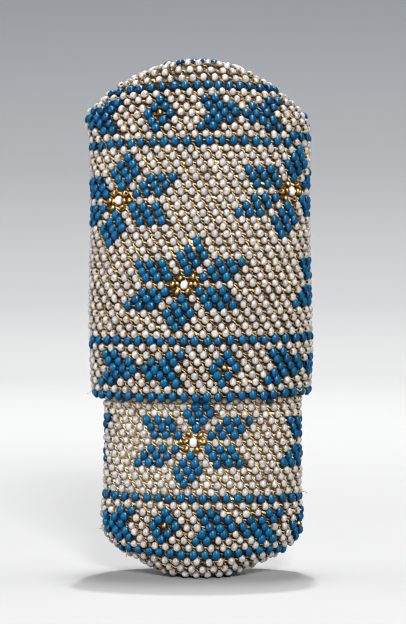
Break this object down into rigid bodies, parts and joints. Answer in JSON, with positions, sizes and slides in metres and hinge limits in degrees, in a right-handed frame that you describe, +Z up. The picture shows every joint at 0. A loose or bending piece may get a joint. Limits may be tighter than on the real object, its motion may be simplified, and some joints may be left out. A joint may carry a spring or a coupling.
{
  "type": "beaded purse",
  "caption": "Tall oval purse of bead crochet in two telescoping halves, a rounded pouch and a cap that slides over it",
  "frame": {"origin": "on the floor under the middle of the purse's box", "axes": "+Z up along the purse's length, front of the purse faces -Y, +X to the right seen from the front"},
  "size_m": [0.0551, 0.0262, 0.127],
  "materials": {
    "pouch_crochet": "glass seed beads crocheted on cream silk",
    "cap_crochet": "glass seed beads crocheted on cream silk",
    "silk_ground": "cream and gold silk crochet with a soft sheen",
    "opal_beads": "glossy translucent opal white glass",
    "blue_beads": "glossy opaque turquoise blue glass",
    "gilt_beads": "cut gilt metal beads, bright",
    "white_beads": "glossy opaque white glass"
  },
  "bodies": {
    "pouch": {"beaded_pouch": "pouch_crochet"},
    "cap": {"beaded_cap": "cap_crochet"}
  },
  "joints": [
    {"name": "cap_slide", "type": "slide", "parent": "pouch", "child": "cap", "axis": [0, 0, 1], "range_m": [-0.024, 0.045]}
  ]
}
